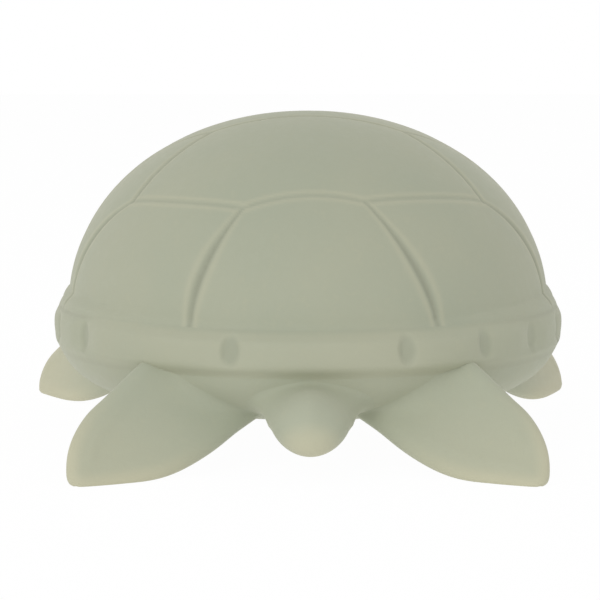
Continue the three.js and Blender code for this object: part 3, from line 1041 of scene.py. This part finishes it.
@dataclass
class Limb(Part):
    """What the bending limbs share: the joint that they hang on, their root and how they turn.

    The flare says how far the fillet at the root spreads at the limb's top, at its sides and underneath.
    """

    joint: str = ""
    stations: int = 72
    around: int = 96
    root: float = 3.0
    free: float = 6.0
    flare: tuple[float, float, float] = (1.0, 2.4, 1.0)
    flare_reach: float = 3.5
    fillet_rings: int = 14
    belly_room: float = 1.2
    rim_room: float = 0.1
    slide: Span = (-14.0, 8.0)
    slide_steps: int = 30
    bite: float = 0.04
    setback: float = 2.0
    root_share: float = 0.235

    def hinge(self) -> Array:
        """The joint's place in millimetres."""
        row = next(row for row in frame["joints"] if row["name"] == self.joint)
        return np.array(row["pos_m"]) / MM

    def body(self) -> str:
        """The body that the joint moves."""
        return next(row["child"] for row in frame["joints"] if row["name"] == self.joint)

    def along(self) -> Array:
        """Unit direction from the root to the tip, which each kind of limb has its own way to find."""
        raise NotImplementedError

    def rooted(self, rings: Array, out: Array, turns: Array, reach: Array) -> tuple[Skin, Array]:
        """Carries a row of rings softly into the bowl, by a fillet where it leaves the skin, and closes it.

        Args:
            rings: Points by ring from inside the bowl to the tip, then round the ring, then by axis.
            out: Direction of each point of a ring away from the limb's middle line.
            turns: Angle of each point of a ring round that line.
            reach: How far the fillet climbs up the limb, in all or for each point of a ring.

        Returns:
            The closed skin, whose first rings run along the fillet, and the ring number that each of its
            points came from.
        """
        form, along = self.form, self.along()
        count, around, _ = rings.shape
        column, number = np.arange(around), np.arange(count)
        outside = form.outside_bowl(rings.reshape(-1, 3)).reshape(count, around)
        last = np.clip((outside < 0.0).sum(axis=0), 1, count - 2)
        here, after = outside[last - 1, column], outside[last, column]
        crossing = last - 1 + np.clip(-here / np.maximum(after - here, TINY), 0.0, 1.0)
        run = rings.mean(axis=1) @ along
        top = np.minimum(np.interp(np.interp(crossing, number, run) + reach, run, number), count - 3.0)
        corner, climbed = (sampled(rings, place[None])[0] for place in (crossing, top))
        level = along * np.array([1.0, 1.0, 0.0])
        level /= np.linalg.norm(level)
        foot = corner + self.flares(turns)[:, None] * out
        lowest = np.minimum(corner[:, 2], form.belly + self.belly_room)
        foot[:, 2] = np.clip(foot[:, 2], lowest, form.bowl_top - self.rim_room)
        near, far = (np.full(around, limit) for limit in self.slide)
        for _ in range(self.slide_steps):
            middle = (near + far) / 2.0
            inside = form.outside_bowl(foot + middle[:, None] * level) < -self.bite
            near, far = np.where(inside, middle, near), np.where(inside, far, middle)
        foot = foot + near[:, None] * level
        fillet = [
            (1.0 - t) ** 2 * foot + 2.0 * t * (1.0 - t) * corner + t * t * climbed
            for t in np.linspace(0.0, 1.0, self.fillet_rings)
        ]
        free = np.array([top + (count - 1.0 - top) * t for t in np.linspace(0.0, 1.0, count)[1:]])
        places = np.vstack([np.tile(crossing, (self.fillet_rings + 1, 1)), free])
        rings = np.array([foot - self.setback * level, *fillet, *sampled(rings, free)])
        skin = loft(rings)
        # Painted shade at the root, where the limb meets the bowl
        skin.paint[PAINTED_SHADE] = self.root_shade(rings)
        return skin, places

    def flares(self, turns: Array) -> Array:
        """Spreads the fillet round the limb.

        Args:
            turns: Angles round the limb.

        Returns:
            The spread at each angle.
        """
        top, side, under = self.flare
        upright = np.sin(turns) ** 2
        return side * np.cos(turns) ** 2 + np.where(np.sin(turns) > 0.0, top, under) * upright

    def root_shade(self, rings: Array) -> Array:
        """Paints shade on the root, where the limb meets the bowl, fading out along the fillet.

        Args:
            rings: The limb's rings.

        Returns:
            The painted shade share of each point, then of the middles of both ends.
        """
        steps = np.clip((np.arange(len(rings)) - 1.0) / (self.fillet_rings - 1.0), 0.0, 1.0)
        shade = np.repeat(self.root_share * (1.0 - ease(0.0, 1.0, steps)), rings.shape[1])
        return np.append(shade, [self.root_share, 0.0])

    def hold(self, piece: Object) -> None:
        """Bakes the piece's place into its mesh; nothing ties it to a body or lets it turn with the limb.

        Args:
            piece: The limb's object.
        """
        hinge, along = self.hinge(), self.along()
        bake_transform(piece)


# Edges of the paddles, leading then trailing, from root to tip: along and across, from the joint
REAR_OUTLINE = (
    (
        (-9.4, -5.9), (-4.0, -7.5), (1.5, -9.0), (6.2, -10.3), (10.1, -11.4), (13.8, -11.7),
        (17.2, -11.3), (19.9, -10.3), (21.2, -9.3), (21.7, -8.1),
    ),
    (
        (-9.4, 13.7), (-3.1, 10.9), (0.4, 9.3), (5.6, 7.0), (11.4, 3.7), (15.0, 0.9),
        (18.1, -2.7), (20.3, -5.5), (21.3, -7.0), (21.7, -8.1),
    ),
)
FRONT_OUTLINE = (
    (
        (-9.4, -5.9), (-4.0, -7.6), (1.5, -9.4), (6.2, -11.2), (10.1, -12.9), (13.8, -14.3),
        (17.2, -15.0), (20.0, -14.5), (21.8, -12.9), (22.4, -10.7),
    ),
    (
        (-9.4, 13.7), (-3.1, 10.9), (0.4, 9.3), (5.6, 6.6), (11.4, 2.5), (15.0, -0.8),
        (18.1, -4.4), (20.4, -7.3), (21.8, -9.2), (22.4, -10.7),
    ),
)


@dataclass
class Flipper(Limb):
    """A broad paddle that swells out of the bowl, flat on its faces and round at its edges.

    Heading, droop and roll are in degrees, and those of the right flippers are mirrored.
    """

    side: Side = Side.LEFT
    outline: tuple[Edge, Edge] = REAR_OUTLINE
    heading: float = 243.3
    droop: float = 40.8
    roll: float = 37.0
    sunk: float = -0.59
    tip_share: float = 0.995
    thickness: Span = (4.2, 3.2)
    above: float = 0.36
    edge: float = 2.2
    welt: float = 0.14
    welt_inset: float = 0.9
    welt_width: float = 0.8
    welt_span: Span = (2.0, 12.0)
    sole_gap: float = 0.03
    sole_edge: float = 1.2
    sole_drop: float = 0.55
    sole_span: Span = (1.0, 6.0)
    pale: float = 0.4
    pale_span: Span = (-2.0, 20.0)
    edge_paint: float = 0.55
    edge_width: Span = (0.2, 2.4)
    edge_span: Span = (2.0, 18.0)
    outline_steps: int = 400
    edge_steps: int = 160
    flare: tuple[float, float, float] = (2.4, 0.0, 2.4)
    flare_reach: float = 4.0

    def axes(self) -> Array:
        """Finds the paddle's own axes.

        Returns:
            The directions along it, towards its trailing edge and out of its upper face, one row each.
        """
        left = self.side is Side.LEFT
        heading = self.heading if left else 180.0 - self.heading
        roll = -self.roll if left else self.roll
        turn = Euler((math.radians(roll), math.radians(self.droop), math.radians(heading)), "XYZ")
        axes = np.array(turn.to_matrix()).T
        if not left:
            axes[1] = -axes[1]
        return axes

    def along(self) -> Array:
        """Unit direction from the root to the tip."""
        return self.axes()[0]

    def build(self) -> Skin:
        """Builds the paddle.

        Returns:
            The closed skin, with its upper and lower face meeting in a round edge.
        """
        axes, hinge = self.axes(), self.hinge()
        shares = self.tip_share * np.sin(np.linspace(0.0, 1.0, self.stations) * QUARTER)
        lead, trail = (self.at_stations(edge, shares) for edge in self.outline)
        turns = circle(self.around)
        plan = lead[:, None, :] + (trail - lead)[:, None, :] * (0.5 - 0.5 * np.cos(turns))[None, :, None]
        gap = self.edge_gap(plan.reshape(-1, 2)).reshape(plan.shape[:2])
        gap[:, [0, self.around // 2]] = 0.0
        reach = np.clip(plan[:, :, 0] / plan[:, :, 0].max(), 0.0, 1.0)
        rise = between(self.thickness, reach) * np.sqrt(1.0 - (1.0 - np.clip(gap / self.edge, 0.0, 1.0)) ** 2)
        rise = rise * np.where(turns < np.pi, self.above, self.above - 1.0)
        welt = bell((gap - self.edge - self.welt_inset) / self.welt_width) * (turns < np.pi)
        rise = self.sunk + rise + self.welt * welt * ease(*self.welt_span, plan[:, :, 0])
        rings = hinge + plan @ axes[:2] + rise[:, :, None] * axes[2]
        out = np.outer(-np.cos(turns), axes[1]) + np.outer(np.sin(turns), axes[2])
        skin, _ = self.rooted(rings, out, turns, self.flare_reach)
        height = skin.points[:, 2]
        lift = (np.hypot(height, self.sole_edge) - height) / 2.0 - self.sole_drop
        height = height + lift * (1.0 - ease(*self.sole_span, height))
        skin.points[:, 2] = np.maximum(height, self.sole_gap)
        # Paler, warmer towards the tip and along the edges: partly thin rubber, partly painted highlight
        own = (skin.points - hinge) @ axes.T
        edge = 1.0 - ease(*self.edge_width, self.edge_gap(own[:, :2]))
        pale_and_highlight = self.pale * ease(*self.pale_span, own[:, 0])
        skin.paint[PALE_AND_HIGHLIGHT] = pale_and_highlight + self.edge_paint * edge * ease(*self.edge_span, own[:, 0])
        return skin

    def at_stations(self, edge: Edge, shares: Array) -> Array:
        """Reads an edge of the outline.

        Args:
            edge: The edge.
            shares: Shares of the paddle's length.

        Returns:
            The edge's places there, along the paddle and across it.
        """
        drawn = smooth_curve(np.array(edge), self.outline_steps)
        places = between((edge[0][0], edge[-1][0]), shares)
        return np.stack([places, np.interp(places, drawn[:, 0], drawn[:, 1])], axis=-1)

    def edge_gap(self, plan: Array) -> Array:
        """How far places on the paddle lie from its edges."""
        edges = (smooth_curve(edge, self.edge_steps) for edge in self.outline)
        return np.minimum(*(distance_to_line(plan, edge)[0] for edge in edges))


@dataclass
class Tail(Limb):
    """The short blunt tail, which swells out of the bowl and droops.

    Each section has its reach from the joint, half width, height above and below its middle, and lift.
    """

    node: str = "tail"
    joint: str = "tail_bend"
    droop: float = 14.0
    sections: tuple[tuple[float, ...], ...] = (
        (-7.0, 7.3, 4.3, 3.2, 0.6), (-2.0, 7.3, 4.1, 3.0, -0.1), (1.0, 7.1, 4.0, 3.0, -0.45),
        (4.0, 6.0, 4.3, 4.1, -0.25), (7.0, 5.2, 4.2, 4.2, -0.15), (9.2, 3.9, 3.4, 3.4, -0.3),
        (10.5, 2.2, 2.1, 2.1, -0.55), (11.0, 0.6, 0.6, 0.6, -0.7),
    )
    aside: float = 0.35
    ridge: float = 0.36
    flare: tuple[float, float, float] = (1.0, 2.4, 1.2)
    flare_reach: float = 5.5
    ridge_reach: float = 3.0
    pale: float = 0.9
    pale_span: Span = (8.2, 12.2)
    pale_drop: float = 0.6

    def along(self) -> Array:
        """Unit direction from the root to the tip."""
        return np.array([0.0, -math.cos(math.radians(self.droop)), -math.sin(math.radians(self.droop))])

    def build(self) -> Skin:
        """Builds the tail.

        Returns:
            The closed skin, with a soft ridge along its top and a round tip.
        """
        hinge, along, turns = self.hinge(), self.along(), circle(self.around)
        up = np.array([0.0, along[2], -along[1]])
        crown = np.clip(np.sin(turns), 0.0, 1.0) ** 2
        sideways = np.outer(np.cos(turns) * (1.0 - self.ridge * crown), ACROSS)
        upright = np.outer(np.sin(turns), up)
        drawn = smooth_curve(np.array(self.sections), self.stations)
        reach, width, high, low, lift = (column[:, None, None] for column in drawn.T)
        height = np.where(np.sin(turns)[:, None] > 0.0, high, low)
        rings = hinge + self.aside * ACROSS + reach * along + lift * up + width * sideways + height * upright
        climb = between((self.flare_reach, self.ridge_reach), crown)
        skin, _ = self.rooted(rings, sideways + upright, turns, climb)
        # Paler, warmer towards the lower tip: partly thin rubber, partly painted highlight
        towards_tip = (skin.points - hinge) @ (along - self.pale_drop * up)
        skin.paint[PALE_AND_HIGHLIGHT] = self.pale * ease(*self.pale_span, towards_tip)
        return skin


@dataclass
class Head(Limb):
    """A plain turtle head on a short neck, with moulded eyes and a closed mouth.

    Each section has its reach from the joint, half width, half height and lift.
    """

    node: str = "head"
    joint: str = "neck_bend"
    stations: int = 96
    around: int = 128
    rise: float = 14.0
    sections: tuple[tuple[float, ...], ...] = (
        (-14.0, 6.0, 3.0, 3.6), (-7.0, 6.1, 3.4, 2.0), (-2.0, 6.0, 3.8, 0.6), (2.0, 5.9, 4.1, 0.1),
        (5.5, 6.0, 4.6, 0.2), (8.5, 7.4, 6.2, 0.8), (12.0, 9.0, 7.9, 1.3), (16.0, 9.4, 8.3, 1.2),
        (19.5, 8.3, 7.4, 0.6), (22.5, 6.3, 5.7, -0.2), (24.2, 4.0, 3.7, -0.7), (25.0, 1.0, 1.0, -0.9),
    )
    eye_reach: float = 18.2
    eye_turn: float = 30.0
    eye_radius: float = 2.3
    eye_rise: float = 0.9
    socket: float = 0.55
    socket_share: float = 1.12
    socket_width: float = 0.45
    socket_shade_paint: float = 0.35
    mouth_level: float = -1.6
    mouth_start: float = 13.5
    mouth_run: float = 2.0
    mouth_curve: float = 0.005
    mouth_width: float = 0.38
    mouth_depth: float = 0.5
    mouth_shade_paint: float = 0.6
    nose_span: Span = (21.0, 25.0)
    nose_paint: float = 0.5

    def along(self) -> Array:
        """Unit direction from the root to the nose."""
        return np.array([0.0, math.cos(math.radians(self.rise)), math.sin(math.radians(self.rise))])

    def build(self) -> Skin:
        """Builds the head.

        Returns:
            The closed skin, with eyes raised in shallow sockets and the line of the mouth sunk in.
        """
        along, turns = self.along(), circle(self.around)
        up = np.array([0.0, -along[2], along[1]])
        drawn = smooth_curve(np.array(self.sections), self.stations)
        reach, width, height, lift = (column[:, None] for column in drawn.T)
        own = (reach, width * np.cos(turns), lift + height * np.sin(turns))
        own = np.stack(np.broadcast_arrays(*own), axis=-1)
        normal = np.cross(np.gradient(own, axis=0), np.roll(own, -1, axis=1) - np.roll(own, 1, axis=1))
        normal /= np.maximum(np.linalg.norm(normal, axis=2), TINY)[:, :, None]
        relief, hollow, pale_and_highlight = self.face(own)
        own = own + normal * np.sign(normal[self.stations // 2, 0, 1]) * relief[:, :, None]
        rings = self.hinge() + own @ np.array([along, ACROSS, up])
        out = np.outer(np.cos(turns), ACROSS) + np.outer(np.sin(turns), up)
        skin, places = self.rooted(rings, out, turns, self.flare_reach)
        # Painted shade and the pale tint of the face, carried onto the skin's points
        hollow, pale_and_highlight = (
            np.append(sampled(shares, places).ravel(), [0.0, shares[-1].mean()]) for shares in (hollow, pale_and_highlight)
        )
        skin.paint[PAINTED_SHADE] = np.maximum(skin.paint[PAINTED_SHADE], hollow)
        skin.paint[PALE_AND_HIGHLIGHT] = pale_and_highlight
        return skin

    def face(self, own: Array) -> tuple[Array, Array, Array]:
        """Works out the relief of the eyes and the mouth.

        Args:
            own: Points as reach, breadth and level on the bare head.

        Returns:
            How far each point is raised, its painted shade share in the sockets and along the mouth, and its
            share of the pale tint towards the nose, partly thin rubber and partly painted highlight.
        """
        reach, level = own[:, :, 0], own[:, :, 2]
        station = int(np.argmin(np.abs(reach[:, 0] - self.eye_reach)))
        number = int(round(self.eye_turn / 360.0 * self.around))
        relief = np.zeros(reach.shape)
        hollow = np.zeros(reach.shape)
        for k in (number, self.around // 2 - number):
            gap = np.linalg.norm(own - own[station, k], axis=2)
            ball = np.sqrt(np.clip(1.0 - (gap / self.eye_radius) ** 2, 0.0, 1.0))
            ditch = bell((gap - self.socket_share * self.eye_radius) / self.socket_width)
            relief += self.eye_rise * ball - self.socket * ditch
            # Painted shade in the socket round the eye
            hollow += self.socket_shade_paint * ditch
        curve = self.mouth_level + self.mouth_curve * (reach - self.mouth_start) ** 2
        line = bell((level - curve) / self.mouth_width)
        line = line * ease(self.mouth_start, self.mouth_start + self.mouth_run, reach)
        relief -= self.mouth_depth * line
        # Painted shade along the mouth line
        hollow += self.mouth_shade_paint * line
        return relief, np.clip(hollow, 0.0, 1.0), self.nose_paint * ease(*self.nose_span, reach)


@dataclass(frozen=True)
class Lamp:
    """A soft square lamp: its place and its side in metres, and its power in watts."""

    name: str
    place: tuple[float, float, float]
    side: float
    power: float


@dataclass
class Studio:
    """A white floor under a soft white tent, and the camera at the photograph's angle."""

    form: ShellForm
    camera_gap: float = 400.0
    camera_rise: float = 6.1
    lens: float = 150.0
    sensor: float = 36.0
    shift: Span = (-8.0 / 600.0, 16.0 / 600.0)
    clip: Span = (0.01, 50.0)
    tent_strength: float = 0.585
    floor_half: float = 3.0
    floor_white: float = 0.92
    floor_share: Span = (0.5, 0.96)
    floor_glow: float = 1.01
    lamps: tuple[Lamp, ...] = (
        Lamp("key", (-0.42, -0.85, 0.58), 0.7, 3.25),
        Lamp("fill", (0.65, -0.70, 0.25), 0.6, 0.2),
        Lamp("left_edge", (-0.85, 0.25, 0.25), 0.5, 0.2),
        Lamp("right_edge", (0.85, 0.25, 0.25), 0.5, 0.03),
        Lamp("top", (0.1, 0.15, 1.0), 0.9, 0.4),
    )

    def aim(self, data: ID, place: Vector, target: Vector) -> Object:
        """Puts a camera or a lamp in the scene.

        Args:
            data: Its data, whose name it takes.
            place: Where it is, in metres.
            target: Where it looks.

        Returns:
            The object.
        """
        thing = bpy.data.objects.new(data.name, data)
        thing.location = place
        thing.rotation_mode = "QUATERNION"
        thing.rotation_quaternion = (target - place).to_track_quat("-Z", "Y")
        bpy.context.scene.collection.objects.link(thing)
        return thing

    def camera(self) -> None:
        """Places the camera behind the toy, a little above the rim."""
        rim = Vector((0.0, self.form.middle, self.form.seam + self.form.rim_height / 2.0)) * MM
        rise = math.radians(self.camera_rise)
        back = Vector((0.0, -math.cos(rise), math.sin(rise)))
        data = bpy.data.cameras.new("camera")
        data.lens, data.sensor_width = self.lens, self.sensor
        data.shift_x, data.shift_y = self.shift
        data.clip_start, data.clip_end = self.clip
        bpy.context.scene.camera = self.aim(data, rim + self.camera_gap * MM * back, rim)

    def light(self) -> None:
        """Lights the toy from all round and by the lamps, and shows the background white."""
        world = bpy.data.worlds.new("tent")
        bpy.context.scene.world = world
        world.use_nodes = True
        tree = world.node_tree
        limits = {"Value": seen_rays(tree), "To Min": self.tent_strength, "To Max": 1.0}
        strength = add_node(tree, "MapRange", limits).outputs["Result"]
        feed(tree, tree.nodes["Background"], {"Color": (1.0, 1.0, 1.0, 1.0), "Strength": strength})
        target = Vector((0.0, self.form.middle, self.form.seam)) * MM
        for lamp in self.lamps:
            data = bpy.data.lights.new(lamp.name, "AREA")
            data.energy, data.size = lamp.power, lamp.side
            self.aim(data, Vector(lamp.place), target)

    def floor(self) -> None:
        """Lays the floor, which shows white but for a soft shadow and lights the toy a little from below."""
        half = self.floor_half
        corners = [(-half, -half, 0.0), (half, -half, 0.0), (half, half, 0.0), (-half, half, 0.0)]
        mesh = bpy.data.meshes.new("floor")
        mesh.from_pydata(corners, [], [(0, 1, 2, 3)])
        floor = bpy.data.objects.new("floor", mesh)
        bpy.context.scene.collection.objects.link(floor)
        material = bpy.data.materials.new("floor_white")
        material.use_nodes = True
        tree = material.node_tree
        tree.nodes.remove(tree.nodes["Principled BSDF"])
        matt = add_node(tree, "BsdfDiffuse", {"Color": (*[self.floor_white] * 3, 1.0)})
        glow = add_node(tree, "Emission", {"Strength": self.floor_glow})
        limits = {"Value": seen_rays(tree), "To Min": self.floor_share[0], "To Max": self.floor_share[1]}
        share = add_node(tree, "MapRange", limits).outputs["Result"]
        mixed = add_node(tree, "MixShader", {0: share, 1: matt.outputs["BSDF"], 2: glow.outputs["Emission"]})
        feed(tree, tree.nodes["Material Output"], {"Surface": mixed.outputs["Shader"]})
        mesh.materials.append(material)

    def build(self) -> None:
        """Sets up the camera, the floor and the light."""
        bpy.context.scene.view_settings.view_transform = "Standard"
        self.camera()
        self.floor()
        self.light()


def flippers(form: ShellForm) -> list[Flipper]:
    """Lists the flippers, of which the two front ones don't lie quite alike.

    Args:
        form: The shell's form.

    Returns:
        The front ones, then the rear ones, each left and right.
    """
    # The front flippers take more of the pale tint: thin rubber, and painted light that lifts the shade they
    # lie in
    front = {"outline": FRONT_OUTLINE, "roll": 55.0, "pale": 0.9}
    lies = {
        ("front", Side.LEFT): {"heading": 145.0, "droop": 47.5, **front},
        ("front", Side.RIGHT): {"heading": 136.5, "droop": 45.5, **front},
        ("rear", Side.LEFT): {},
        ("rear", Side.RIGHT): {},
    }
    found = []
    for (end, side), lie in lies.items():
        name = f"{end}_{side.name.lower()}"
        found.append(Flipper(form, node=f"{name}_flipper", joint=f"{name}_bend", side=side, **lie))
    return found


def main() -> None:
    """Builds the toy piece by piece, then the studio."""
    logging.basicConfig(level=logging.INFO, format="%(name)s: %(message)s")
    form = ShellForm()
    materials = {slot: finish.material() for slot, finish in FINISHES.items()}
    parts = [Carapace(form), Plastron(form), VentPlug(form), Head(form), Tail(form), *flippers(form)]
    for part in parts:
        piece = part.make(materials[part.slot])
        log.info("%s: %d faces", piece.name, len(piece.data.polygons))
    Studio(form).build()


if __name__ == "__main__":
    main()
